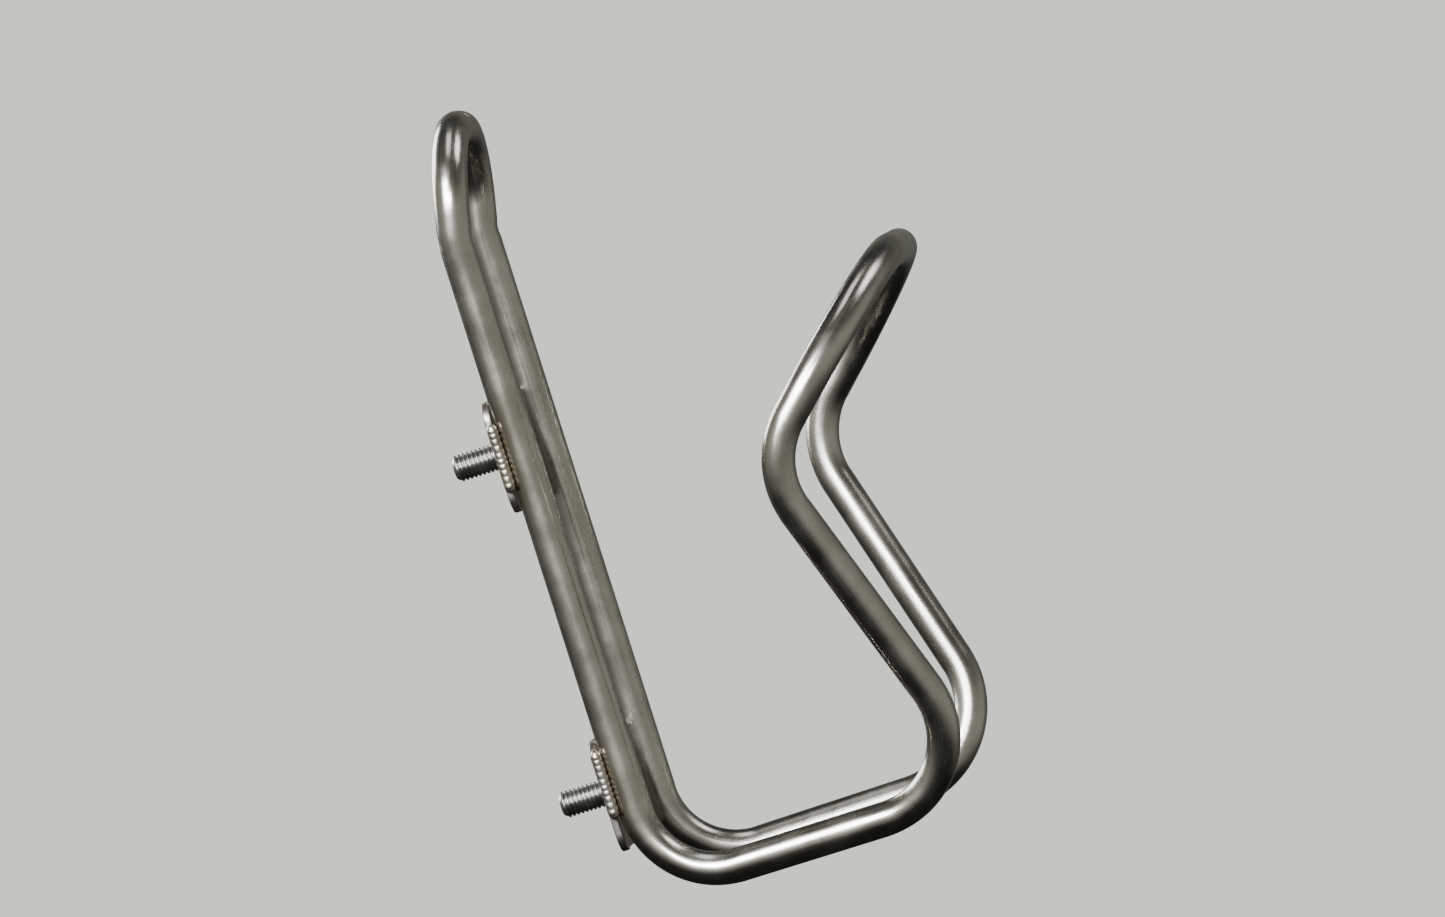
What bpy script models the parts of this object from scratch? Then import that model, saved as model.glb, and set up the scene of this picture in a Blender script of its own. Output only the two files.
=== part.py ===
"""Water bottle cage bent from one thin titanium tube, with its mount plates, welds, washers and bolts.

+Z runs up the rails, the bottle side faces -Y, and the cage is symmetric about X = 0. The origin is
midway between the two bolt axes, on the plane of the mount plates' back faces.
"""

import math

import bmesh
import bpy
from mathutils import Vector

MM = 0.001
FIT_GAP = 0.3 * MM  # left between pieces that touch
ROUND_SEGMENTS = 32
MERGE_DISTANCE = 0.01 * MM

# Tube
TUBE_RADIUS = 3.175 * MM
TUBE_WALL = 0.5 * MM
TUBE_BEVEL_RESOLUTION = 6  # 16 sides
DEGREES_PER_BEND_STEP = 11

# Bolts and their places on the rails
BOLT_SPACING = 64 * MM
LOWER_BOLT_ABOVE_BASE = 18.5 * MM

# Tube centreline: half widths from X = 0, distances forward of the rails, heights above the base
RAIL_HALF_SPACING = 18.5 * MM
HOOP_FORWARD = 4 * MM
HOOP_HEIGHT = 141.3 * MM
LEAN_HEIGHT = 122.3 * MM
TOE_HALF_WIDTH = 26 * MM
TOE_FORWARD = 64.6 * MM
TOE_HEIGHT = 0.7 * MM
KINK_HALF_WIDTH = 40.2 * MM
KINK_FORWARD = 43.3 * MM
KINK_HEIGHT = 68.1 * MM
NOSE_HALF_WIDTH = 37 * MM
NOSE_FORWARD = 73.1 * MM
NOSE_HEIGHT = 97 * MM
HOOP_BEND = 15 * MM
LEAN_BEND = 18 * MM
BASE_BEND = 15 * MM
TOE_BEND = 16.8 * MM
KINK_BEND = 16 * MM
NOSE_BEND = 30 * MM

# Butt weld that closes the tube's loop at the middle of the hoop
BUTT_WELD_LENGTH = 1.2 * MM
BUTT_WELD_CROWN = 0.35 * MM
BUTT_WELD_INNER_RADIUS = TUBE_RADIUS - TUBE_WALL
BUTT_WELD_SEGMENTS = 24

# Mount plates, pressed so that the seat round the bolt lies behind the edges that meet the rails
PLATE_PAST_RAIL_AXIS = 1 * MM
PLATE_WIDTH = 2 * (RAIL_HALF_SPACING + PLATE_PAST_RAIL_AXIS)
PLATE_HEIGHT = 20.5 * MM
PLATE_THICKNESS = 1.2 * MM
SEAT_RECESS = 0.9 * MM
SEAT_HALF_WIDTH = 12.5 * MM
SEAT_RAMP = 2.5 * MM
PLATE_CORNER_RADIUS = 3.5 * MM
PLATE_CORNER_SEGMENTS = 5
PLATE_EDGE_BEVEL = 0.2 * MM
BOLT_HOLE_RADIUS = 2.8 * MM
SLOT_EXTRA_HALF_LENGTH = 1.5 * MM

# Weld beads along the plates' side edges
BEAD_RADIUS = 0.75 * MM
BEAD_LENGTH = 13 * MM
BEAD_BEVEL_RESOLUTION = 4
LOWER_BEAD_RAISE = 2.5 * MM  # keeps the lower beads off the start of the base bend

# Fasteners: M5 button head bolts with a 3 mm hexagon socket, on thin washers
WASHER_OUTER_RADIUS = 5 * MM
WASHER_INNER_RADIUS = 2.75 * MM
WASHER_THICKNESS = 0.5 * MM
SHANK_RADIUS = 2.45 * MM
SHANK_LENGTH = 12 * MM
SHANK_TIP_CHAMFER = 0.6 * MM
HEAD_RADIUS = 4.75 * MM
HEAD_HEIGHT = 2.75 * MM
HEAD_RIM = 0.35 * MM
HEAD_FLAT_RADIUS = 2.3 * MM
HEAD_DOME_STEPS = 5
HEX_ACROSS_FLATS = 3 * MM
HEX_DEPTH = 1.7 * MM

# Places that follow from the dimensions above
BOLT_HEIGHT = BOLT_SPACING / 2
BASE_Z = -BOLT_HEIGHT - LOWER_BOLT_ABOVE_BASE
PLATE_FRONT_Y = -PLATE_THICKNESS
RAIL_Y = PLATE_FRONT_Y - SEAT_RECESS - FIT_GAP - TUBE_RADIUS
WASHER_BACK_Y = PLATE_FRONT_Y - FIT_GAP
HEAD_BACK_Y = WASHER_BACK_Y - WASHER_THICKNESS - FIT_GAP

TITANIUM = ((0.47, 0.45, 0.41), 1.0, 0.34)
PLATE_TITANIUM = ((0.33, 0.32, 0.30), 1.0, 0.42)
WELD = ((0.52, 0.50, 0.47), 1.0, 0.28)
BOLT_STEEL = ((0.42, 0.41, 0.39), 1.0, 0.3)
STEEL = ((0.50, 0.50, 0.50), 1.0, 0.3)


def cage_point(half_width, forward, height):
    """A point given by its half width, its distance forward of the rails and its height above the base."""
    return Vector((half_width, RAIL_Y - forward, BASE_Z + height))


def bends_of_one_side():
    """Corners of the centreline down the +X side, hoop to nose, each with its bend radius."""
    return [
        (cage_point(RAIL_HALF_SPACING, HOOP_FORWARD, HOOP_HEIGHT), HOOP_BEND),
        (cage_point(RAIL_HALF_SPACING, 0, LEAN_HEIGHT), LEAN_BEND),
        (cage_point(RAIL_HALF_SPACING, 0, 0), BASE_BEND),
        (cage_point(TOE_HALF_WIDTH, TOE_FORWARD, TOE_HEIGHT), TOE_BEND),
        (cage_point(KINK_HALF_WIDTH, KINK_FORWARD, KINK_HEIGHT), KINK_BEND),
        (cage_point(NOSE_HALF_WIDTH, NOSE_FORWARD, NOSE_HEIGHT), NOSE_BEND),
    ]


def mirrored(point):
    return Vector((-point.x, point.y, point.z))


def bend_arc(before, corner, after, radius):
    """Points of the arc that a tube bender leaves at a corner, tangent to both straights."""
    into = (corner - before).normalized()
    out_of = (after - corner).normalized()
    angle = into.angle(out_of)
    setback = radius * math.tan(angle / 2)
    start = corner - into * setback
    towards_centre = (out_of - into * into.dot(out_of)).normalized()
    centre = start + towards_centre * radius
    steps = math.ceil(math.degrees(angle) / DEGREES_PER_BEND_STEP)
    turns = [angle * step / steps for step in range(steps + 1)]
    return [centre + (into * math.sin(turn) - towards_centre * math.cos(turn)) * radius for turn in turns]


def tube_centreline():
    """The whole loop, from one side of the butt weld round to the other."""
    half = bends_of_one_side()
    bends = half + [(mirrored(corner), radius) for corner, radius in reversed(half)]
    tube_end = cage_point(BUTT_WELD_LENGTH / 2 + FIT_GAP, HOOP_FORWARD, HOOP_HEIGHT)
    stations = [tube_end] + [corner for corner, _ in bends] + [mirrored(tube_end)]
    points = [tube_end]
    for index, (corner, radius) in enumerate(bends, start=1):
        points += bend_arc(stations[index - 1], corner, stations[index + 1], radius)
    return points + [mirrored(tube_end)]


def material(name, look):
    colour, metallic, roughness = look
    made = bpy.data.materials.new(name)
    made.use_nodes = True
    shader = made.node_tree.nodes["Principled BSDF"]
    shader.inputs["Base Color"].default_value = (*colour, 1)
    shader.inputs["Metallic"].default_value = metallic
    shader.inputs["Roughness"].default_value = roughness
    made.diffuse_color = (*colour, 1)
    return made


def add_object(name, data, collection, look=None):
    obj = bpy.data.objects.new(name, data)
    collection.objects.link(obj)
    if look:
        data.materials.append(material(name, look))
    return obj


def tube_curve(name, points, radius, bevel_resolution, filled):
    """A straight-segment curve with a round section."""
    curve = bpy.data.curves.new(name, "CURVE")
    curve.dimensions = "3D"
    curve.bevel_depth = radius
    curve.bevel_resolution = bevel_resolution
    curve.use_fill_caps = filled
    spline = curve.splines.new("POLY")
    spline.points.add(len(points) - 1)
    for spline_point, point in zip(spline.points, points):
        spline_point.co = (*point, 1)
    spline.use_smooth = True
    return curve


def turned(name, profile, collection, look, segments=ROUND_SEGMENTS, closed=False):
    """A shape turned about local Z from (radius, height) points that run down its outer side."""
    mesh = bpy.data.meshes.new(name)
    vertices = [(radius, 0, height) for radius, height in profile]
    edges = [(index, index + 1) for index in range(len(profile) - 1)]
    if closed:
        edges.append((len(profile) - 1, 0))
    mesh.from_pydata(vertices, edges, [])
    obj = add_object(name, mesh, collection, look)
    screw = obj.modifiers.new("turn", "SCREW")
    screw.axis = "Z"
    screw.steps = segments
    screw.render_steps = segments
    screw.use_merge_vertices = True
    screw.merge_threshold = MERGE_DISTANCE
    return obj


def prism(name, radius, depth, sides, collection):
    """A cutter with its axis along local Z, centred on its origin."""
    mesh = bpy.data.meshes.new(name)
    shape = bmesh.new()
    bmesh.ops.create_cone(
        shape, cap_ends=True, segments=sides, radius1=radius, radius2=radius, depth=depth
    )
    shape.to_mesh(mesh)
    shape.free()
    obj = add_object(name, mesh, collection)
    obj.hide_render = True
    obj.display_type = "WIRE"
    return obj


def cut(obj, cutter):
    boolean = obj.modifiers.new("cut_" + cutter.name, "BOOLEAN")
    boolean.operation = "DIFFERENCE"
    boolean.solver = "EXACT"
    boolean.object = cutter


def face_forward(obj, y, z):
    """Stands a turned shape on X = 0 with its local +Z towards the bottle."""
    obj.location = (0, y, z)
    obj.rotation_euler = (math.pi / 2, 0, 0)


def cage_tube(collection):
    curve = tube_curve("cage_tube", tube_centreline(), TUBE_RADIUS, TUBE_BEVEL_RESOLUTION, False)
    tube = add_object("cage_tube", curve, collection, TITANIUM)
    wall = tube.modifiers.new("wall", "SOLIDIFY")
    wall.thickness = TUBE_WALL
    wall.offset = -1
    wall.use_rim = True


def tube_butt_weld(collection):
    half = BUTT_WELD_LENGTH / 2
    crown = TUBE_RADIUS + BUTT_WELD_CROWN
    profile = [
        (BUTT_WELD_INNER_RADIUS, half),
        (TUBE_RADIUS, half),
        (crown, half / 3),
        (crown, -half / 3),
        (TUBE_RADIUS, -half),
        (BUTT_WELD_INNER_RADIUS, -half),
    ]
    weld = turned("tube_butt_weld", profile, collection, WELD, BUTT_WELD_SEGMENTS, closed=True)
    weld.location = cage_point(0, HOOP_FORWARD, HOOP_HEIGHT)
    weld.rotation_euler = (0, math.pi / 2, 0)


def plate_mesh(name):
    """A plate in the XZ plane with round corners and folds beside its seat, whose back face is on Y = 0."""
    mesh = bpy.data.meshes.new(name)
    shape = bmesh.new()
    bmesh.ops.create_cube(shape, size=1)
    bmesh.ops.scale(shape, vec=(PLATE_WIDTH, PLATE_THICKNESS, PLATE_HEIGHT), verts=shape.verts)
    bmesh.ops.translate(shape, vec=(0, -PLATE_THICKNESS / 2, 0), verts=shape.verts)
    across = [e for e in shape.edges if abs(e.verts[0].co.y - e.verts[1].co.y) > PLATE_THICKNESS / 2]
    bmesh.ops.bevel(
        shape,
        geom=across,
        offset=PLATE_CORNER_RADIUS,
        segments=PLATE_CORNER_SEGMENTS,
        profile=0.5,
        affect="EDGES",
    )
    for fold_x in (SEAT_HALF_WIDTH, SEAT_HALF_WIDTH + SEAT_RAMP):
        for side in (-1, 1):
            whole = shape.verts[:] + shape.edges[:] + shape.faces[:]
            bmesh.ops.bisect_plane(shape, geom=whole, plane_co=(side * fold_x, 0, 0), plane_no=(1, 0, 0))
    for vertex in shape.verts:
        up_the_ramp = (abs(vertex.co.x) - SEAT_HALF_WIDTH) / SEAT_RAMP
        vertex.co.y -= SEAT_RECESS * min(max(up_the_ramp, 0), 1)
    shape.to_mesh(mesh)
    shape.free()
    return mesh


def mount_plate(name, z, slot_extra, collection, cutters):
    """A plate at height z, its bolt hole stretched up and down by slot_extra."""
    plate = add_object(name, plate_mesh(name), collection, PLATE_TITANIUM)
    plate.location = (0, 0, z)
    edge = plate.modifiers.new("edge", "BEVEL")
    edge.width = PLATE_EDGE_BEVEL
    edge.segments = 1
    edge.limit_method = "ANGLE"
    hole = prism(name + "_hole", BOLT_HOLE_RADIUS, 4 * PLATE_THICKNESS, ROUND_SEGMENTS, cutters)
    for vertex in hole.data.vertices:
        vertex.co.y += math.copysign(slot_extra, vertex.co.y)
    face_forward(hole, -PLATE_THICKNESS / 2, z)
    cut(plate, hole)


def plate_weld(name, side, z, collection):
    """A bead in the corner between a plate's side edge and the back of its rail."""
    bead_x = PLATE_WIDTH / 2 + FIT_GAP + BEAD_RADIUS
    reach = TUBE_RADIUS + FIT_GAP + BEAD_RADIUS
    behind_rail = math.sqrt(reach**2 - (bead_x - RAIL_HALF_SPACING) ** 2)
    bead_y = RAIL_Y + behind_rail
    ends = [Vector((side * bead_x, bead_y, z + end * BEAD_LENGTH / 2)) for end in (-1, 1)]
    add_object(name, tube_curve(name, ends, BEAD_RADIUS, BEAD_BEVEL_RESOLUTION, True), collection, WELD)


def washer(name, z, collection):
    profile = [
        (WASHER_INNER_RADIUS, WASHER_THICKNESS),
        (WASHER_OUTER_RADIUS, WASHER_THICKNESS),
        (WASHER_OUTER_RADIUS, 0),
        (WASHER_INNER_RADIUS, 0),
    ]
    ring = turned(name, profile, collection, STEEL, closed=True)
    face_forward(ring, WASHER_BACK_Y, z)


def head_dome():
    """The rounded side of a button head, from its flat top out to its rim."""
    turns = [math.pi / 2 * step / HEAD_DOME_STEPS for step in range(HEAD_DOME_STEPS + 1)]
    width = HEAD_RADIUS - HEAD_FLAT_RADIUS
    height = HEAD_HEIGHT - HEAD_RIM
    return [(HEAD_FLAT_RADIUS + width * math.sin(turn), HEAD_RIM + height * math.cos(turn)) for turn in turns]


def bolt(name, z, collection, cutters):
    """A button head bolt, its head's underside on local Z = 0 and its shank below."""
    profile = [
        (0, HEAD_HEIGHT),
        *head_dome(),
        (HEAD_RADIUS, 0),
        (SHANK_RADIUS, 0),
        (SHANK_RADIUS, SHANK_TIP_CHAMFER - SHANK_LENGTH),
        (SHANK_RADIUS - SHANK_TIP_CHAMFER, -SHANK_LENGTH),
        (0, -SHANK_LENGTH),
    ]
    screw = turned(name, profile, collection, BOLT_STEEL)
    face_forward(screw, HEAD_BACK_Y, z)
    socket = prism(name + "_socket", HEX_ACROSS_FLATS / math.sqrt(3), 2 * HEX_DEPTH, 6, cutters)
    face_forward(socket, HEAD_BACK_Y - HEAD_HEIGHT, z)
    cut(screw, socket)


def new_collection(name):
    collection = bpy.data.collections.new(name)
    bpy.context.scene.collection.children.link(collection)
    return collection


def main():
    for obj in list(bpy.data.objects):
        bpy.data.objects.remove(obj)
    cage = new_collection("water_bottle_cage")
    cutters = new_collection("cutters")
    cutters.hide_render = True
    cage_tube(cage)
    tube_butt_weld(cage)
    levels = {
        "upper": (BOLT_HEIGHT, 0, 0),
        "lower": (-BOLT_HEIGHT, SLOT_EXTRA_HALF_LENGTH, LOWER_BEAD_RAISE),
    }
    for level, (z, slot_extra, bead_raise) in levels.items():
        mount_plate(level + "_mount_plate", z, slot_extra, cage, cutters)
        plate_weld(level + "_left_weld", 1, z + bead_raise, cage)
        plate_weld(level + "_right_weld", -1, z + bead_raise, cage)
        washer(level + "_washer", z, cage)
        bolt(level + "_bolt", z, cage, cutters)


main()
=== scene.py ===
"""Finished look of the bent-tube bottle cage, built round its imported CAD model.

Everything is in metres in the CAD frame: +Z up the rails, the bottle side faces -Y, X is the width.
"""

import math

import bmesh
import bpy
from mathutils import Matrix, Vector


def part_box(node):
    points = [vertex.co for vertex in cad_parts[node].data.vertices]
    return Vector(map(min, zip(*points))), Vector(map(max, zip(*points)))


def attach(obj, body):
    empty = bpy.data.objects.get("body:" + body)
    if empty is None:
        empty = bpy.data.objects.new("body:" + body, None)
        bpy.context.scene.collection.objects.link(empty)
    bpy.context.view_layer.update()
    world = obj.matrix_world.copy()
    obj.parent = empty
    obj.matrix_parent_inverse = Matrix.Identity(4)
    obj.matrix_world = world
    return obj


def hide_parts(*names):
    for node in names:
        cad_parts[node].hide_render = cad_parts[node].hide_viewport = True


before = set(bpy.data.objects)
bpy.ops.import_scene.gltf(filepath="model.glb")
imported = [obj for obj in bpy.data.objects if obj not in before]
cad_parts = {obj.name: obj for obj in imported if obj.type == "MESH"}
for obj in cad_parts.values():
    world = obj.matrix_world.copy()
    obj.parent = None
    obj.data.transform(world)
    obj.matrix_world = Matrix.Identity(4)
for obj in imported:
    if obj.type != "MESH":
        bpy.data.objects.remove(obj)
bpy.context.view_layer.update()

MM = 0.001

# Tube: the same centreline as in the CAD model
TUBE_RADIUS = 3.175 * MM
RAIL_Y = -5.575 * MM
BASE_Z = -50.5 * MM
RAIL_HALF_SPACING = 18.5 * MM
HOOP_FORWARD = 4 * MM
HOOP_HEIGHT = 141.3 * MM
LEAN_HEIGHT = 122.3 * MM
TOE_HALF_WIDTH = 26 * MM
TOE_FORWARD = 64.6 * MM
TOE_HEIGHT = 0.7 * MM
KINK_HALF_WIDTH = 40.2 * MM
KINK_FORWARD = 43.3 * MM
KINK_HEIGHT = 68.1 * MM
NOSE_HALF_WIDTH = 37 * MM
NOSE_FORWARD = 73.1 * MM
NOSE_HEIGHT = 97 * MM
HOOP_BEND = 15 * MM
LEAN_BEND = 18 * MM
BASE_BEND = 15 * MM
TOE_BEND = 16.8 * MM
KINK_BEND = 16 * MM
NOSE_BEND = 30 * MM
TUBE_SIDES = 48
DEGREES_PER_BEND_STEP = 3
STRAIGHT_STEP = 6 * MM
BEND_FLATTENING = 0.045  # how far a bend squeezes the tube across it
BEND_WIDENING = 0.02
BEND_EASE = 0.6  # below 1, the squeeze comes on quickly at a bend's ends
TUBE_END_GAP = 0.2 * MM  # half the gap between the tube's ends, under the butt weld

# Plates, with the seat round the bolt pressed back from the edges that meet the rails
PLATE_CORNER_RADIUS = 3.5 * MM
PLATE_EDGE_ROUND = 0.28 * MM
PLATE_FRONT_Y = -1.35 * MM
SEAT_RECESS = 0.75 * MM
FOLD_START = 12 * MM
FOLD_END = 15.5 * MM
FOLD_STEPS = 10
HOLE_RADIUS = 2.8 * MM
SLOT_EXTRA_HALF_LENGTH = 1.5 * MM
CONTACT_GAP = 0.02 * MM

# Welds
BEAD_HALF_WIDTH = 1.05 * MM
BEAD_PITCH = 1.15 * MM
BEAD_RIPPLE = 0.07
BEAD_END_TAPER = 1.4 * MM
BEAD_SIDES = 20
BEAD_RING_STEP = 0.07 * MM
BEAD_LEAST_RADIUS = 0.02 * MM
CRESCENT_LAG = 0.3  # how much later a ripple comes at the bead's sides than at its middle, in ripples
WANDER = 0.12  # how far the ripples stray from even spacing
WANDER_LENGTH = 0.9 * MM
SWELL = 0.02  # slow change of the bead's width
SWELL_LENGTH = 1.7 * MM
BUTT_HALF_WIDTH = 0.95 * MM
BUTT_CROWN = 0.15 * MM
BUTT_RIPPLE = 0.18
BUTT_EDGE_RIPPLE = 0.03
BUTT_RIPPLE_COUNT = 22
BUTT_SIDES = 16
BUTT_STEPS = 240

# Fasteners
TURNED_SIDES = 120
AXIS_RADIUS = 0.05 * MM  # radius of the smallest ring, at the middle of a flat end
WASHER_HOLE_RADIUS = 2.75 * MM
WASHER_EDGE_ROUND = 0.16 * MM
WASHER_EDGE_STEPS = 4
THREAD_PITCH = 0.8 * MM
THREAD_DEPTH = 0.42 * MM
THREAD_RADIUS = 2.48 * MM
THREAD_RINGS_PER_TURN = 8
THREAD_FLANK = 1.6  # steepness of the tooth's sides
THREAD_ROOT = 0.2  # width of the flat root
THREAD_START = 1.3 * MM
TIP_LENGTH = 0.45 * MM
TIP_CHAMFER = 0.3 * MM
NECK_FILLET = 0.25 * MM
NECK_LENGTH = 1.2 * MM
HEAD_RADIUS = 4.75 * MM
HEAD_HEIGHT = 2.75 * MM
HEAD_RIM = 0.35 * MM
HEAD_FLAT_RADIUS = 2.3 * MM
HEAD_BACK_CHAMFER = 0.12 * MM
HEAD_DOME_STEPS = 18
HEX_HALF_FLATS = 1.5 * MM
HEX_CHAMFER_RADIUS = 1.9 * MM
HEX_DEPTH = 1.6 * MM
HEX_CONE_DEPTH = 0.4 * MM  # the drill point under the socket
HEX_FLOOR_SHRINK = 0.96
HEX_FLOOR_STEP = 0.05 * MM
HEX_CHAMFER_DEPTH = 0.22 * MM
HEX_LIP = 0.02 * MM
HEX_LIP_WIDTH = 0.05 * MM

# Camera, studio and stage
CAMERA_PLACE = Vector((-2.167, -0.307, 0.094))
CAMERA_TARGET = Vector((0, -0.0375, 0.0195))
PHOTO_UP = Vector((0, -0.3038, 0.9527))
SENSOR_WIDTH = 36
LENS = 301
BACKDROP_COLOUR = (0.98, 1.01, 0.91, 1)
ROOM_COLOUR = (0.42, 0.42, 0.38)  # what the metal reflects about level with the cage
ROOM_FLOOR_COLOUR = (0.02, 0.019, 0.017)  # what it reflects below the cage and in the room's shade
ROOM_SHADE_SIDE = (0.97, 0.25, 0)  # the side of the room that is in shade
LIGHT_TARGET = (0, -0.04, 0.02)
FLOOR_Z = -0.55
FLOOR_RADIUS = 5


# Heat and wear
STRAW = (0.40, 0.32, 0.20)
BLUE = (0.20, 0.20, 0.27)
STRAW_REACH = 6 * MM
BLUE_REACH = 2.6 * MM
HOOP_TINT_DEPTH = 8 * MM  # how far below the hoop's corner line the butt weld's tint can reach
FAR_AWAY = 50 * MM  # a distance past every tint
PLATE_WELD_HALF_LENGTH = 7 * MM


# Materials


def add_node(tree, kind, inputs, **settings):
    """A shader node. Each input is a value, or a socket to link."""
    node = tree.nodes.new(kind)
    for name, value in settings.items():
        setattr(node, name, value)
    for key, value in inputs.items():
        if isinstance(value, bpy.types.NodeSocket):
            tree.links.new(value, node.inputs[key])
        else:
            node.inputs[key].default_value = value
    return node


def maths(tree, operation, *values):
    return add_node(tree, "ShaderNodeMath", dict(enumerate(values)), operation=operation).outputs[0]


def stretched(tree, vector, scale):
    """A vector scaled by a number of features per metre along each axis."""
    node = add_node(tree, "ShaderNodeVectorMath", {0: vector, 1: scale}, operation="MULTIPLY")
    return node.outputs[0]


def noise(tree, vector, scale, detail=3, roughness=0.55):
    """Noise between 0 and 1 with about scale features per metre."""
    placed = stretched(tree, vector, scale if isinstance(scale, tuple) else (scale,) * 3)
    inputs = {"Vector": placed, "Scale": 1, "Detail": detail, "Roughness": roughness}
    return add_node(tree, "ShaderNodeTexNoise", inputs).outputs["Fac"]


def remap(tree, value, low, high, out_low=0, out_high=1):
    """A value moved smoothly from one range to another, and held at its ends."""
    inputs = {"Value": value, "From Min": low, "From Max": high, "To Min": out_low, "To Max": out_high}
    node = add_node(tree, "ShaderNodeMapRange", inputs, interpolation_type="SMOOTHSTEP")
    return node.outputs["Result"]


def fine_lines(tree, vector, scale, width):
    """Thin wandering lines: 1 where the noise passes its middle value."""
    off_middle = maths(tree, "ABSOLUTE", maths(tree, "SUBTRACT", noise(tree, vector, scale, 2), 0.5))
    return remap(tree, off_middle, 0, width, 1, 0)


def blended(tree, factor, first, second):
    """Two colours, each a value or a socket, mixed by a factor."""
    node = tree.nodes.new("ShaderNodeMix")
    node.data_type = "RGBA"
    for key, value in (("Factor_Float", factor), ("A_Color", first), ("B_Color", second)):
        socket = next(s for s in node.inputs if s.identifier == key)
        if isinstance(value, bpy.types.NodeSocket):
            tree.links.new(value, socket)
        elif isinstance(value, tuple):
            socket.default_value = (*value, 1)
        else:
            socket.default_value = value
    return next(s for s in node.outputs if s.identifier == "Result_Color")


def new_material(name, metallic=1.0):
    material = bpy.data.materials.new(name)
    material.use_nodes = True
    tree = material.node_tree
    shader = tree.nodes["Principled BSDF"]
    shader.inputs["Metallic"].default_value = metallic
    return material, tree, shader


def object_place(tree):
    return add_node(tree, "ShaderNodeTexCoord", {}).outputs["Object"]


def components(tree, vector):
    return add_node(tree, "ShaderNodeSeparateXYZ", {0: vector}).outputs


def bumped(tree, shader, height, distance, strength=1.0):
    inputs = {"Height": height, "Distance": distance, "Strength": strength}
    tree.links.new(add_node(tree, "ShaderNodeBump", inputs).outputs[0], shader.inputs["Normal"])


def heat_tint(tree, colour, distance):
    """Weld heat on bare titanium: straw, then violet-blue, fading out a few millimetres away."""
    straw = remap(tree, distance, 1.5 * MM, STRAW_REACH, 0.35, 0)
    blue = remap(tree, distance, 0.4 * MM, BLUE_REACH, 0.4, 0)
    return blended(tree, blue, blended(tree, straw, colour, STRAW), BLUE)


def distance_from_butt_weld(tree, place):
    """Distance along X from the hoop's middle, made large below the hoop."""
    x, _, z = components(tree, place)
    hoop_bottom = BASE_Z + HOOP_HEIGHT - HOOP_TINT_DEPTH
    below_hoop = remap(tree, z, BASE_Z + LEAN_HEIGHT, hoop_bottom, FAR_AWAY, 0)
    return maths(tree, "ADD", maths(tree, "ABSOLUTE", x), below_hoop)


def distance_from_plate_welds(tree, place):
    """Distance from the line of the nearest plate's side edges, across and along the rails."""
    x, y, z = components(tree, place)
    bolt_z = frame_height("upper_bolt")
    across = maths(tree, "SUBTRACT", maths(tree, "ABSOLUTE", x), plate_half_width())
    forward = maths(tree, "SUBTRACT", y, PLATE_FRONT_Y)
    along = maths(tree, "ABSOLUTE", maths(tree, "SUBTRACT", maths(tree, "ABSOLUTE", z), bolt_z))
    past_end = maths(tree, "MAXIMUM", maths(tree, "SUBTRACT", along, PLATE_WELD_HALF_LENGTH), 0)
    total = maths(tree, "ADD", maths(tree, "POWER", across, 2), maths(tree, "POWER", forward, 2))
    total = maths(tree, "ADD", total, maths(tree, "POWER", past_end, 2))
    return maths(tree, "SQRT", total)


def frame_height(node):
    low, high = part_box(node)
    return (low.z + high.z) / 2


def plate_half_width():
    low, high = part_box("upper_mount_plate")
    return (high.x - low.x) / 2


def tube_titanium():
    """Drawn titanium tube: lengthwise lines, soft mottling, bottle rub and a little weld heat."""
    material, tree, shader = new_material("drawn_titanium")
    along_tube = add_node(tree, "ShaderNodeAttribute", {}, attribute_name="tube_place").outputs["Vector"]
    place = object_place(tree)
    mottle = noise(tree, place, 140, 4)
    patches = noise(tree, place, 38, 3)
    drawn = noise(tree, along_tube, (4200, 4200, 55), 3)
    scuffs = fine_lines(tree, place, (2300, 2300, 160), 0.006)
    crossing = fine_lines(tree, place, (420, 700, 1900), 0.004)
    rub = rub_mask(tree, place)
    rubbed = maths(tree, "MULTIPLY", scuffs, rub)
    marks = maths(tree, "ADD", rubbed, maths(tree, "MULTIPLY", crossing, 0.35))

    colour = blended(tree, remap(tree, mottle, 0.3, 0.7), (0.39, 0.38, 0.335), (0.49, 0.48, 0.43))
    colour = blended(tree, remap(tree, drawn, 0.35, 0.75, 0, 0.45), colour, (0.33, 0.315, 0.285))
    colour = blended(tree, remap(tree, patches, 0.5, 0.75, 0, 0.25), colour, (0.36, 0.33, 0.28))
    colour = blended(tree, maths(tree, "MULTIPLY", marks, 0.5), colour, (0.68, 0.67, 0.65))
    to_hoop_weld = distance_from_butt_weld(tree, place)
    to_weld = maths(tree, "MINIMUM", to_hoop_weld, distance_from_plate_welds(tree, place))
    tree.links.new(heat_tint(tree, colour, to_weld), shader.inputs["Base Color"])

    rough = remap(tree, mottle, 0.25, 0.75, 0.17, 0.25)
    rough = maths(tree, "ADD", rough, remap(tree, drawn, 0.3, 0.8, 0, 0.07))
    rough = maths(tree, "ADD", rough, maths(tree, "MULTIPLY", rub, 0.05))
    tree.links.new(rough, shader.inputs["Roughness"])
    height = maths(tree, "SUBTRACT", maths(tree, "MULTIPLY", drawn, 0.6), maths(tree, "MULTIPLY", marks, 0.4))
    bumped(tree, shader, height, 0.004 * MM)
    return material


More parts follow.
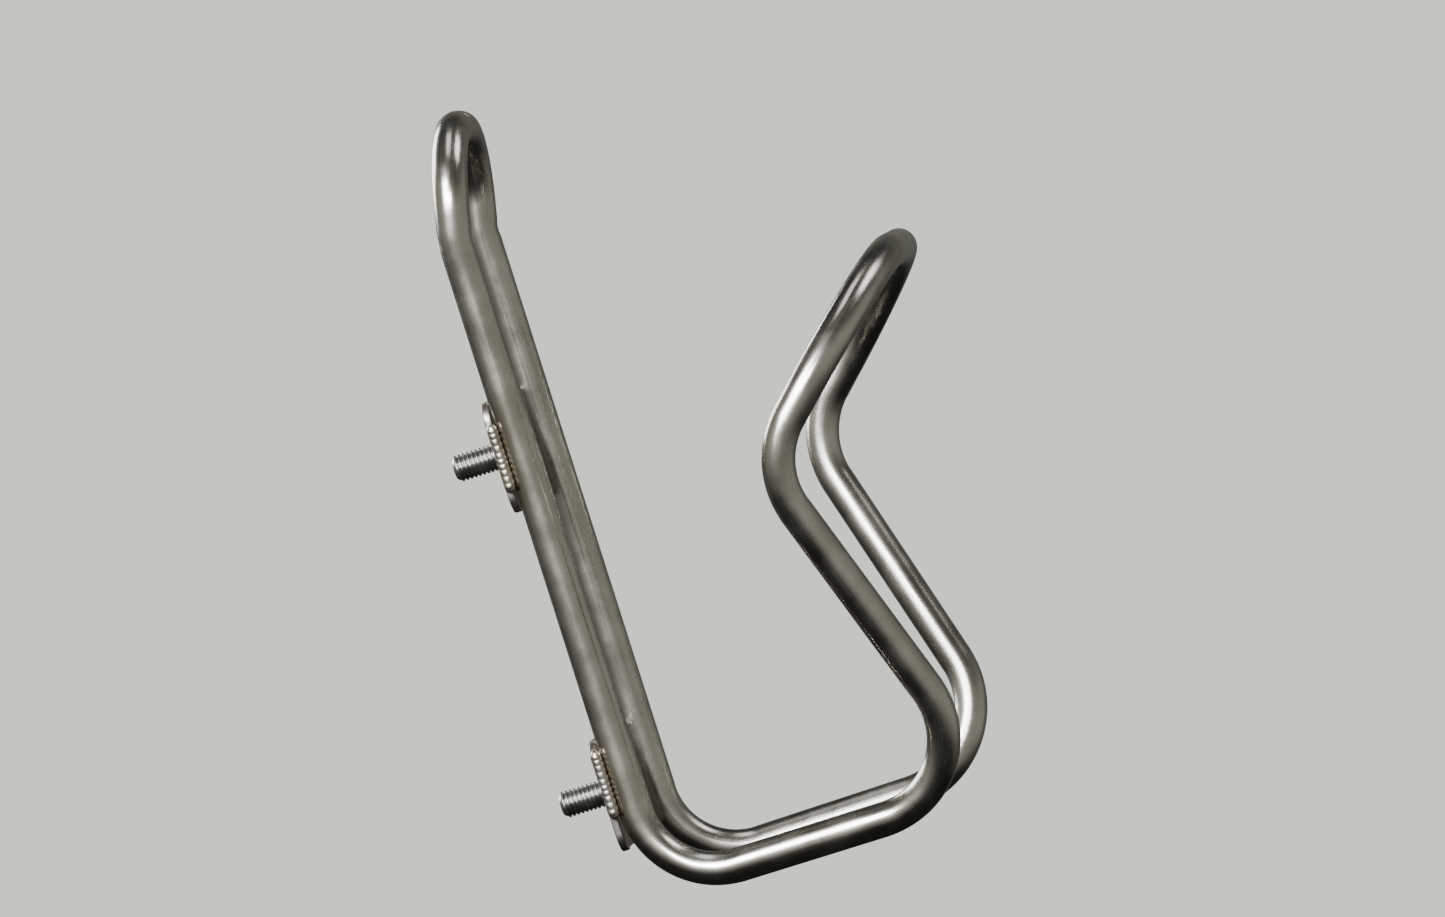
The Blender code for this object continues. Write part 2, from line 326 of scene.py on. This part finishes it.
def rub_mask(tree, place):
    """1 where the surface faces the bottle's axis, so where a bottle slides on it."""
    x, y, _ = components(tree, place)
    bottle_y = RAIL_Y - NOSE_FORWARD / 2
    outward = add_node(
        tree, "ShaderNodeCombineXYZ", {0: x, 1: maths(tree, "SUBTRACT", y, bottle_y), 2: 0.0}
    ).outputs[0]
    unit = add_node(tree, "ShaderNodeVectorMath", {0: outward}, operation="NORMALIZE").outputs[0]
    normal = add_node(tree, "ShaderNodeNewGeometry", {}).outputs["Normal"]
    facing = add_node(tree, "ShaderNodeVectorMath", {0: unit, 1: normal}, operation="DOT_PRODUCT")
    return remap(tree, facing.outputs["Value"], -0.2, -0.85)


def plate_titanium():
    """Rolled titanium sheet, brushed across, with weld heat at its side edges; its tone is set darker than
    the tube's, partly as painted shade.
    """
    material, tree, shader = new_material("sheet_titanium")
    place = object_place(tree)
    brushed = noise(tree, place, (70, 5200, 5200), 4)
    mottle = noise(tree, place, 160, 3)
    scratches = fine_lines(tree, place, (500, 900, 1500), 0.004)
    # Base tone darker than the tube's: partly the sheet's own tone, partly painted shade of the gap behind
    # the rails.
    colour = blended(tree, remap(tree, mottle, 0.3, 0.7), (0.31, 0.30, 0.275), (0.35, 0.34, 0.31))
    colour = blended(tree, remap(tree, brushed, 0.3, 0.75, 0, 0.5), colour, (0.25, 0.24, 0.22))
    colour = blended(tree, maths(tree, "MULTIPLY", scratches, 0.3), colour, (0.55, 0.54, 0.52))
    off_middle = maths(tree, "ABSOLUTE", components(tree, place)[0])
    to_edge = maths(tree, "SUBTRACT", plate_half_width(), off_middle)
    tree.links.new(heat_tint(tree, colour, to_edge), shader.inputs["Base Color"])
    rough = remap(tree, mottle, 0.3, 0.7, 0.3, 0.36)
    rough = maths(tree, "ADD", rough, remap(tree, brushed, 0.3, 0.8, 0, 0.1))
    tree.links.new(rough, shader.inputs["Roughness"])
    height = maths(tree, "SUBTRACT", brushed, maths(tree, "MULTIPLY", scratches, 0.6))
    bumped(tree, shader, height, 0.006 * MM)
    return material


def weld_titanium():
    """Clean satin weld metal with soft patches of straw and blue."""
    material, tree, shader = new_material("weld_titanium")
    place = object_place(tree)
    tint = noise(tree, place, 260, 2)
    grain = noise(tree, place, 3000, 3)
    colour = blended(tree, remap(tree, tint, 0.4, 0.75), (0.40, 0.385, 0.35), (0.36, 0.31, 0.22))
    colour = blended(tree, remap(tree, tint, 0.6, 0.8, 0, 0.5), colour, (0.22, 0.23, 0.30))
    colour = blended(tree, remap(tree, grain, 0.45, 0.8, 0, 0.3), colour, (0.26, 0.25, 0.23))
    tree.links.new(colour, shader.inputs["Base Color"])
    tree.links.new(remap(tree, grain, 0.2, 0.8, 0.3, 0.42), shader.inputs["Roughness"])
    bumped(tree, shader, grain, 0.01 * MM)
    return material


def distance_from_axis(tree, place):
    """Distance from local Z, the axis that a fastener is turned about."""
    x, y, _ = components(tree, place)
    return maths(tree, "SQRT", maths(tree, "ADD", maths(tree, "POWER", x, 2), maths(tree, "POWER", y, 2)))


def lathe_rings(tree, radius, pitch):
    return maths(tree, "SINE", maths(tree, "MULTIPLY", radius, 2 * math.pi / pitch))


def bolt_steel():
    """Satin stainless bolt: fine rings, painted shade deepening into the hex socket, dirt on the thread, key
    marks at the socket's edge.
    """
    material, tree, shader = new_material("bolt_stainless")
    place = object_place(tree)
    height = components(tree, place)[2]
    radius = distance_from_axis(tree, place)
    cloud = noise(tree, place, 450, 4)
    specks = remap(tree, noise(tree, place, 2600, 4, 0.7), 0.6, 0.72)
    from_key_edge = maths(tree, "ABSOLUTE", maths(tree, "SUBTRACT", radius, HEX_CHAMFER_RADIUS))
    key_marks = maths(tree, "MULTIPLY", specks, remap(tree, from_key_edge, 0, 0.6 * MM, 1, 0))
    # Painted shade: darkening inside the hex socket, deepest at its floor.
    socket_painted_shade = maths(
        tree,
        "MULTIPLY",
        remap(tree, radius, HEX_HALF_FLATS, HEX_CHAMFER_RADIUS, 1, 0),
        remap(tree, height, HEAD_HEIGHT - HEX_DEPTH, HEAD_HEIGHT - 0.2 * MM, 1, 0.2),
    )
    below_head = remap(tree, height, -1 * MM, 0)
    thread_grime = maths(tree, "MULTIPLY", maths(tree, "SUBTRACT", 1.0, below_head), cloud)
    thread_dirt_and_socket_shade = maths(tree, "MAXIMUM", socket_painted_shade, thread_grime)
    colour = blended(tree, remap(tree, cloud, 0.3, 0.7), (0.36, 0.355, 0.34), (0.46, 0.455, 0.44))
    # Near black, laid on as painted shade in the socket and as dirt on the thread.
    colour = blended(tree, maths(tree, "MULTIPLY", thread_dirt_and_socket_shade, 0.7), colour, (0.09, 0.085, 0.075))
    colour = blended(tree, maths(tree, "MULTIPLY", key_marks, 0.7), colour, (0.75, 0.74, 0.72))
    tree.links.new(colour, shader.inputs["Base Color"])
    rough = remap(tree, cloud, 0.25, 0.75, 0.2, 0.3)
    rough = maths(tree, "ADD", rough, maths(tree, "MULTIPLY", thread_dirt_and_socket_shade, 0.15))
    tree.links.new(rough, shader.inputs["Roughness"])
    rings = lathe_rings(tree, radius, 0.14 * MM)
    bumped(tree, shader, maths(tree, "ADD", maths(tree, "MULTIPLY", rings, 0.4), cloud), 0.005 * MM)
    return material


def turned_steel():
    """Stainless washer steel with fine rings left by the lathe."""
    material, tree, shader = new_material("turned_stainless")
    place = object_place(tree)
    rings = lathe_rings(tree, distance_from_axis(tree, place), 0.22 * MM)
    cloud = noise(tree, place, 700, 4)
    colour = blended(tree, remap(tree, cloud, 0.3, 0.7), (0.40, 0.395, 0.385), (0.50, 0.495, 0.48))
    tree.links.new(colour, shader.inputs["Base Color"])
    tree.links.new(remap(tree, cloud, 0.2, 0.8, 0.24, 0.36), shader.inputs["Roughness"])
    bumped(tree, shader, maths(tree, "ADD", maths(tree, "MULTIPLY", rings, 0.5), cloud), 0.006 * MM)
    return material


# Geometry


def mesh_object(name, vertices, faces, material, sharp_degrees=40):
    mesh = bpy.data.meshes.new(name)
    mesh.from_pydata(vertices, [], faces)
    mesh.materials.append(material)
    shape = bmesh.new()
    shape.from_mesh(mesh)
    bmesh.ops.recalc_face_normals(shape, faces=shape.faces)
    shape.to_mesh(mesh)
    shape.free()
    mesh.shade_smooth()
    mesh.set_sharp_from_angle(angle=math.radians(sharp_degrees))
    obj = bpy.data.objects.new(name, mesh)
    bpy.context.scene.collection.objects.link(obj)
    return obj


def lofted_faces(rings, sides, closed=False):
    """Quads between neighbouring rings, with a face on each end unless the rings close on themselves."""
    faces = []
    for ring in range(rings if closed else rings - 1):
        here = ring * sides
        there = (ring + 1) % rings * sides
        for side in range(sides):
            beside = (side + 1) % sides
            faces.append((here + side, here + beside, there + beside, there + side))
    if not closed:
        faces.append(tuple(range(sides)))
        faces.append(tuple(range((rings - 1) * sides, rings * sides)))
    return faces


def cage_point(half_width, forward, height):
    """A point given by its half width, its distance forward of the rails and its height above the base."""
    return Vector((half_width, RAIL_Y - forward, BASE_Z + height))


def bends_of_one_side():
    """Corners of the centreline down the +X side, hoop to nose, each with its bend radius."""
    return [
        (cage_point(RAIL_HALF_SPACING, HOOP_FORWARD, HOOP_HEIGHT), HOOP_BEND),
        (cage_point(RAIL_HALF_SPACING, 0, LEAN_HEIGHT), LEAN_BEND),
        (cage_point(RAIL_HALF_SPACING, 0, 0), BASE_BEND),
        (cage_point(TOE_HALF_WIDTH, TOE_FORWARD, TOE_HEIGHT), TOE_BEND),
        (cage_point(KINK_HALF_WIDTH, KINK_FORWARD, KINK_HEIGHT), KINK_BEND),
        (cage_point(NOSE_HALF_WIDTH, NOSE_FORWARD, NOSE_HEIGHT), NOSE_BEND),
    ]


def mirrored(point):
    return Vector((-point.x, point.y, point.z))


def bend_arc(before, corner, after, radius):
    """Stations of one bend: a point, the direction to the bend's centre and how strong the bend is there."""
    into = (corner - before).normalized()
    out_of = (after - corner).normalized()
    angle = into.angle(out_of)
    start = corner - into * radius * math.tan(angle / 2)
    towards_centre = (out_of - into * into.dot(out_of)).normalized()
    centre = start + towards_centre * radius
    steps = math.ceil(math.degrees(angle) / DEGREES_PER_BEND_STEP)
    stations = []
    for step in range(steps + 1):
        turn = angle * step / steps
        point = centre + (into * math.sin(turn) - towards_centre * math.cos(turn)) * radius
        strength = max(0, math.sin(math.pi * step / steps)) ** BEND_EASE
        stations.append((point, (centre - point).normalized(), strength))
    return stations


def tube_stations():
    """Stations round the whole loop, from one side of the butt weld to the other."""
    half = bends_of_one_side()
    bends = half + [(mirrored(corner), radius) for corner, radius in reversed(half)]
    tube_end = cage_point(TUBE_END_GAP, HOOP_FORWARD, HOOP_HEIGHT)
    corners = [tube_end] + [corner for corner, _ in bends] + [mirrored(tube_end)]
    stations = [(tube_end, Vector((0, 0, 1)), 0)]
    for index, (corner, radius) in enumerate(bends, start=1):
        arc = bend_arc(corners[index - 1], corner, corners[index + 1], radius)
        stations += straight_stations(stations[-1][0], arc[0][0]) + arc
    end = mirrored(tube_end)
    return stations + straight_stations(stations[-1][0], end) + [(end, Vector((0, 0, 1)), 0)]


def straight_stations(start, end):
    """Stations along a straight, without its two ends."""
    count = int((end - start).length / STRAIGHT_STEP)
    return [(start.lerp(end, step / (count + 1)), Vector((0, 0, 1)), 0) for step in range(1, count + 1)]


def tube_mesh(name, stations, material):
    """A round tube with its section squeezed a little in each bend, as bending leaves it."""
    points = [point for point, _, _ in stations]
    across = Vector((0, 1, 0))
    vertices = []
    places = []
    travelled = 0
    for index, (point, bend_side, strength) in enumerate(stations):
        before = points[max(index - 1, 0)]
        after = points[min(index + 1, len(points) - 1)]
        heading = (after - before).normalized()
        across = (across - heading * across.dot(heading)).normalized()
        upward = heading.cross(across)
        travelled += (point - before).length
        for side in range(TUBE_SIDES):
            turn = 2 * math.pi * side / TUBE_SIDES
            spoke = across * math.cos(turn) + upward * math.sin(turn)
            in_bend = spoke.dot(bend_side) ** 2
            change = strength * (BEND_WIDENING * (1 - in_bend) - BEND_FLATTENING * in_bend)
            vertices.append(point + spoke * TUBE_RADIUS * (1 + change))
            places.append((TUBE_RADIUS * math.cos(turn), TUBE_RADIUS * math.sin(turn), travelled))
    tube = mesh_object(name, vertices, lofted_faces(len(stations), TUBE_SIDES), material)
    stored = tube.data.attributes.new("tube_place", "FLOAT_VECTOR", "POINT")
    for item, place in zip(stored.data, places):
        item.vector = place
    return tube


def ripple(phase):
    """The stacked-coin profile of a weld bead: round crests with sharp valleys, 0 to 1."""
    return abs(math.sin(math.pi * phase))


def weld_bead(name, start, end, material):
    """A tapered bead of overlapping crescents between two points."""
    length = (end - start).length
    heading = (end - start).normalized()
    rings = math.ceil(length / BEAD_RING_STEP)
    vertices = []
    for ring in range(rings + 1):
        travelled = length * ring / rings
        to_end = min(travelled, length - travelled)
        taper = math.sqrt(1 - (1 - min(1, to_end / BEAD_END_TAPER)) ** 2) if to_end else 0
        for side in range(BEAD_SIDES):
            turn = 2 * math.pi * side / BEAD_SIDES
            wander = WANDER * math.sin(travelled / WANDER_LENGTH)
            phase = travelled / BEAD_PITCH + CRESCENT_LAG * math.cos(2 * turn) + wander
            swell = 1 - BEAD_RIPPLE * (1 - ripple(phase)) + SWELL * math.sin(travelled / SWELL_LENGTH)
            reach = max(BEAD_HALF_WIDTH * taper * swell, BEAD_LEAST_RADIUS)
            spoke = Vector((math.cos(turn), math.sin(turn), 0))
            vertices.append(start + heading * travelled + spoke * reach)
    return mesh_object(name, vertices, lofted_faces(rings + 1, BEAD_SIDES), material, 60)


def butt_weld(name, centre, material):
    """A rippled bead round the tube, across the X axis."""
    vertices = []
    for step in range(BUTT_STEPS):
        turn = 2 * math.pi * step / BUTT_STEPS
        outward = Vector((0, math.cos(turn), math.sin(turn)))
        for side in range(BUTT_SIDES):
            around = 2 * math.pi * side / BUTT_SIDES
            phase = BUTT_RIPPLE_COUNT * turn / (2 * math.pi) + CRESCENT_LAG * math.cos(around) ** 2
            swell = 1 - BUTT_RIPPLE * (1 - ripple(phase))
            edge = 1 - BUTT_EDGE_RIPPLE + BUTT_EDGE_RIPPLE * ripple(phase)
            sideways = BUTT_HALF_WIDTH * math.cos(around) * edge
            height = BUTT_CROWN * math.sin(around) * swell
            vertices.append(centre + outward * (TUBE_RADIUS + height) + Vector((sideways, 0, 0)))
    return mesh_object(name, vertices, lofted_faces(BUTT_STEPS, BUTT_SIDES, closed=True), material, 60)


def outline(curve, points):
    spline = curve.splines.new("POLY")
    spline.points.add(len(points) - 1)
    for spline_point, (x, y) in zip(spline.points, points):
        spline_point.co = (x, y, 0, 1)
    spline.use_cyclic_u = True


def round_corners(half_width, half_height, radius, steps):
    """The outline of a rectangle with round corners, or of a slot where the corners meet."""
    points = []
    for quarter in range(4):
        sign_x = 1 if quarter in (0, 3) else -1
        sign_y = 1 if quarter in (0, 1) else -1
        for step in range(steps + 1):
            turn = math.pi / 2 * (quarter + step / steps)
            x = sign_x * (half_width - radius) + radius * math.cos(turn)
            y = sign_y * (half_height - radius) + radius * math.sin(turn)
            points.append((x, y))
    return points


def sheet_outline(name, node, slot_extra):
    """A flat sheet about local Z = 0 with a node's width and height, a bolt hole and rounded edges."""
    low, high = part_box(node)
    curve = bpy.data.curves.new(name, "CURVE")
    curve.dimensions = "2D"
    curve.fill_mode = "BOTH"
    curve.extrude = -PLATE_FRONT_Y / 2 - PLATE_EDGE_ROUND
    curve.bevel_depth = PLATE_EDGE_ROUND
    curve.bevel_resolution = 3
    curve.offset = -PLATE_EDGE_ROUND
    outline(curve, round_corners((high.x - low.x) / 2, (high.z - low.z) / 2, PLATE_CORNER_RADIUS, 10))
    outline(curve, round_corners(HOLE_RADIUS, HOLE_RADIUS + slot_extra, HOLE_RADIUS, 16))
    return curve


def mount_plate(name, node, slot_extra, material):
    """The pressed plate of a CAD node: a flat sheet folded forward towards both side edges."""
    flat = bpy.data.objects.new(name, sheet_outline(name, node, slot_extra))
    bpy.context.scene.collection.objects.link(flat)
    mesh = bpy.data.meshes.new_from_object(flat.evaluated_get(bpy.context.evaluated_depsgraph_get()))
    bpy.data.objects.remove(flat)
    shape = bmesh.new()
    shape.from_mesh(mesh)
    bmesh.ops.remove_doubles(shape, verts=shape.verts, dist=0.001 * MM)
    for step in range(FOLD_STEPS + 1):
        fold_x = FOLD_START + (FOLD_END - FOLD_START) * step / FOLD_STEPS
        for side in (-1, 1):
            whole = shape.verts[:] + shape.edges[:] + shape.faces[:]
            bmesh.ops.bisect_plane(shape, geom=whole, plane_co=(side * fold_x, 0, 0), plane_no=(1, 0, 0))
    for vertex in shape.verts:
        up_the_fold = min(max((abs(vertex.co.x) - FOLD_START) / (FOLD_END - FOLD_START), 0), 1)
        vertex.co.z += SEAT_RECESS * up_the_fold**2 * (3 - 2 * up_the_fold)
    bmesh.ops.recalc_face_normals(shape, faces=shape.faces)
    shape.to_mesh(mesh)
    shape.free()
    mesh.materials.clear()
    mesh.materials.append(material)
    mesh.shade_smooth()
    mesh.set_sharp_from_angle(angle=math.radians(30))
    plate = bpy.data.objects.new(name, mesh)
    bpy.context.scene.collection.objects.link(plate)
    face_forward(plate, PLATE_FRONT_Y / 2, frame_height(node))
    return plate


def turned_mesh(name, rings, material, closed=False):
    """A lofted shape about local Z. Each ring is (radius, height), or (function of the turn, height)."""
    vertices = []
    for radius, height in rings:
        for side in range(TURNED_SIDES):
            turn = 2 * math.pi * side / TURNED_SIDES
            reach = radius(turn) if callable(radius) else radius
            vertices.append((reach * math.cos(turn), reach * math.sin(turn), height))
    return mesh_object(name, vertices, lofted_faces(len(rings), TURNED_SIDES, closed), material, 32)


def washer(name, node, material):
    """A flat washer with its four edges broken, filling the space up to the bolt head."""
    low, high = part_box(node)
    outer = (high.x - low.x) / 2
    head_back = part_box(node.replace("washer", "bolt"))[0].y + HEAD_HEIGHT
    half = (PLATE_FRONT_Y - head_back) / 2 - CONTACT_GAP
    edge = WASHER_EDGE_ROUND
    corners = [
        (outer - edge, half - edge, 0),
        (WASHER_HOLE_RADIUS + edge, half - edge, 1),
        (WASHER_HOLE_RADIUS + edge, edge - half, 2),
        (outer - edge, edge - half, 3),
    ]
    rings = []
    for radius, height, quarter in corners:
        for step in range(WASHER_EDGE_STEPS + 1):
            turn = math.pi / 2 * (quarter + step / WASHER_EDGE_STEPS)
            rings.append((radius + edge * math.cos(turn), height + edge * math.sin(turn)))
    ring = turned_mesh(name, rings, material, closed=True)
    face_forward(ring, (PLATE_FRONT_Y + head_back) / 2, frame_height(node))
    return ring


def hexagon(turn):
    """Distance from the axis to the hexagon socket's wall at a turn."""
    from_flat = (turn + math.pi / 6) % (math.pi / 3) - math.pi / 6
    return HEX_HALF_FLATS / math.cos(from_flat)


def head_dome():
    """The rounded side of the button head, from its flat top out to its rim."""
    turns = [math.pi / 2 * step / HEAD_DOME_STEPS for step in range(HEAD_DOME_STEPS + 1)]
    width = HEAD_RADIUS - HEAD_FLAT_RADIUS
    height = HEAD_HEIGHT - HEAD_RIM
    return [(HEAD_FLAT_RADIUS + width * math.sin(turn), HEAD_RIM + height * math.cos(turn)) for turn in turns]


def thread_ring(height, fade):
    """The radius of a right-hand thread at a height, as a function of the turn. Fade 0 leaves it uncut."""

    def radius(turn):
        phase = (turn / (2 * math.pi) - height / THREAD_PITCH) % 1
        tooth = min(1, max(0, THREAD_FLANK * (1 - abs(2 * phase - 1)) - THREAD_ROOT))
        return THREAD_RADIUS - THREAD_DEPTH * (1 - tooth) * fade

    return radius


def bolt_rings(shank_length):
    """The whole button head bolt from the bottom of its socket out, over the head and down the thread."""
    socket_floor = HEAD_HEIGHT - HEX_DEPTH
    rings = [
        (AXIS_RADIUS, socket_floor - HEX_CONE_DEPTH),
        (HEX_HALF_FLATS * HEX_FLOOR_SHRINK, socket_floor),
        (hexagon, socket_floor + HEX_FLOOR_STEP),
        (hexagon, HEAD_HEIGHT - HEX_CHAMFER_DEPTH),
        (HEX_CHAMFER_RADIUS, HEAD_HEIGHT - HEX_LIP),
        (HEX_CHAMFER_RADIUS + HEX_LIP_WIDTH, HEAD_HEIGHT),
        *head_dome(),
        (HEAD_RADIUS, HEAD_BACK_CHAMFER),
        (HEAD_RADIUS - HEAD_BACK_CHAMFER, 0),
        (THREAD_RADIUS + NECK_FILLET, 0),
        (THREAD_RADIUS, -NECK_FILLET),
        (THREAD_RADIUS, -NECK_LENGTH),
    ]
    step = THREAD_PITCH / THREAD_RINGS_PER_TURN
    for ring in range(int((shank_length - THREAD_START - TIP_LENGTH) / step) + 1):
        depth = THREAD_START + ring * step
        fade = min(1, (depth - THREAD_START) / THREAD_PITCH)
        rings.append((thread_ring(-depth, fade), -depth))
    root_radius = THREAD_RADIUS - THREAD_DEPTH
    rings += [
        (root_radius, TIP_CHAMFER - shank_length),
        (root_radius - TIP_CHAMFER, -shank_length),
        (AXIS_RADIUS, -shank_length),
    ]
    return rings


def bolt(name, node, material):
    low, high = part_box(node)
    head_back = low.y + HEAD_HEIGHT
    screw = turned_mesh(name, bolt_rings(high.y - head_back), material)
    face_forward(screw, head_back, (low.z + high.z) / 2)
    return screw


def face_forward(obj, y, z):
    """Stands a turned shape on X = 0 with its local +Z towards the bottle."""
    obj.location = (0, y, z)
    obj.rotation_euler = (math.pi / 2, 0, 0)


# The cage's pieces


def place_piece(piece, body, node):
    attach(piece, body)
    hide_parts(node)


def make_cage():
    weld_metal = weld_titanium()
    sheet = plate_titanium()
    bolt_metal = bolt_steel()
    steel = turned_steel()
    place_piece(tube_mesh("bent_tube", tube_stations(), tube_titanium()), "cage", "cage_tube")
    hoop_middle = cage_point(0, HOOP_FORWARD, HOOP_HEIGHT)
    place_piece(butt_weld("hoop_weld", hoop_middle, weld_metal), "cage", "tube_butt_weld")
    for level, slot_extra in (("upper", 0), ("lower", SLOT_EXTRA_HALF_LENGTH)):
        plate = mount_plate(level + "_plate_sheet", level + "_mount_plate", slot_extra, sheet)
        place_piece(plate, "cage", level + "_mount_plate")
        for hand in ("left", "right"):
            node = f"{level}_{hand}_weld"
            low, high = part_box(node)
            middle = (low + high) / 2
            start = Vector((middle.x, middle.y, low.z))
            end = Vector((middle.x, middle.y, high.z))
            place_piece(weld_bead(node + "_bead", start, end, weld_metal), "cage", node)
        ring = washer(level + "_flat_washer", level + "_washer", steel)
        place_piece(ring, level + "_washer", level + "_washer")
        screw = bolt(level + "_button_bolt", level + "_bolt", bolt_metal)
        place_piece(screw, level + "_bolt", level + "_bolt")


# Stage, light and camera


def area_light(name, place, width, height, watts):
    """A rectangular softbox that faces the cage."""
    light = bpy.data.lights.new(name, "AREA")
    light.shape = "RECTANGLE"
    light.size = width
    light.size_y = height
    light.energy = watts
    lamp = bpy.data.objects.new(name, light)
    lamp.location = place
    lamp.rotation_mode = "QUATERNION"
    lamp.rotation_quaternion = (Vector(LIGHT_TARGET) - Vector(place)).to_track_quat("-Z", "Y")
    bpy.context.scene.collection.objects.link(lamp)


def make_floor():
    mesh = bpy.data.meshes.new("floor")
    shape = bmesh.new()
    bmesh.ops.create_circle(shape, cap_ends=True, segments=96, radius=FLOOR_RADIUS)
    shape.to_mesh(mesh)
    shape.free()
    floor = bpy.data.objects.new("floor", mesh)
    floor.location = (0, 0, FLOOR_Z)
    bpy.context.scene.collection.objects.link(floor)
    material, tree, shader = new_material("pale_floor", 0.0)
    grain = noise(tree, object_place(tree), 30, 2)
    colour = blended(tree, grain, (0.83, 0.835, 0.82), (0.86, 0.865, 0.85))
    tree.links.new(colour, shader.inputs["Base Color"])
    shader.inputs["Roughness"].default_value = 0.9
    mesh.materials.append(material)
    floor.visible_glossy = False


def make_world():
    """A pale backdrop, with a room in which the metal mirrors light walls, a dark floor and a dim ceiling."""
    world = bpy.data.worlds.new("studio")
    bpy.context.scene.world = world
    world.use_nodes = True
    tree = world.node_tree
    tree.nodes.clear()
    direction = add_node(tree, "ShaderNodeTexCoord", {}).outputs["Generated"]
    upward = add_node(tree, "ShaderNodeVectorMath", {0: direction, 1: PHOTO_UP}, operation="DOT_PRODUCT")
    shade_side = {0: direction, 1: ROOM_SHADE_SIDE}
    backward = add_node(tree, "ShaderNodeVectorMath", shade_side, operation="DOT_PRODUCT")
    walls = maths(
        tree,
        "MULTIPLY",
        remap(tree, upward.outputs["Value"], -0.6, 0),
        remap(tree, upward.outputs["Value"], 0.25, 0.7, 1, 0.15),
    )
    lit = maths(tree, "MULTIPLY", walls, remap(tree, backward.outputs["Value"], 0, 0.6, 1, 0.32))
    room = blended(tree, lit, ROOM_FLOOR_COLOUR, ROOM_COLOUR)
    pale = add_node(tree, "ShaderNodeBackground", {0: BACKDROP_COLOUR, 1: 1.0})
    reflected = add_node(tree, "ShaderNodeBackground", {0: room, 1: 1.0})
    glossy = add_node(tree, "ShaderNodeLightPath", {}).outputs["Is Glossy Ray"]
    mixed = add_node(tree, "ShaderNodeMixShader", {0: glossy, 1: pale.outputs[0], 2: reflected.outputs[0]})
    output = tree.nodes.new("ShaderNodeOutputWorld")
    tree.links.new(mixed.outputs[0], output.inputs["Surface"])


def make_lights():
    """Two softboxes beside the camera, a weak one overhead, one in front and one behind."""
    area_light("key", (-1.27, 0.43, 0.87), 0.7, 0.7, 58)
    area_light("beside_camera", (-1.75, 0.0, 0.72), 0.7, 0.25, 32)
    area_light("overhead", (0.0, -0.3, 1.6), 0.9, 0.4, 3)
    area_light("front", (0.25, -1.4, 1.25), 0.9, 0.6, 9)
    area_light("back", (1.0, 1.1, 0.75), 1.1, 0.9, 26)


def make_camera():
    lens = bpy.data.cameras.new("camera")
    lens.sensor_width = SENSOR_WIDTH
    lens.lens = LENS
    lens.clip_end = 50
    camera = bpy.data.objects.new("camera", lens)
    back = (CAMERA_PLACE - CAMERA_TARGET).normalized()
    right = PHOTO_UP.cross(back).normalized()
    up = back.cross(right)
    turned = Matrix((right, up, back)).transposed().to_4x4()
    camera.matrix_world = Matrix.Translation(CAMERA_PLACE) @ turned
    bpy.context.scene.collection.objects.link(camera)
    bpy.context.scene.camera = camera


make_cage()
make_floor()
make_world()
make_lights()
make_camera()
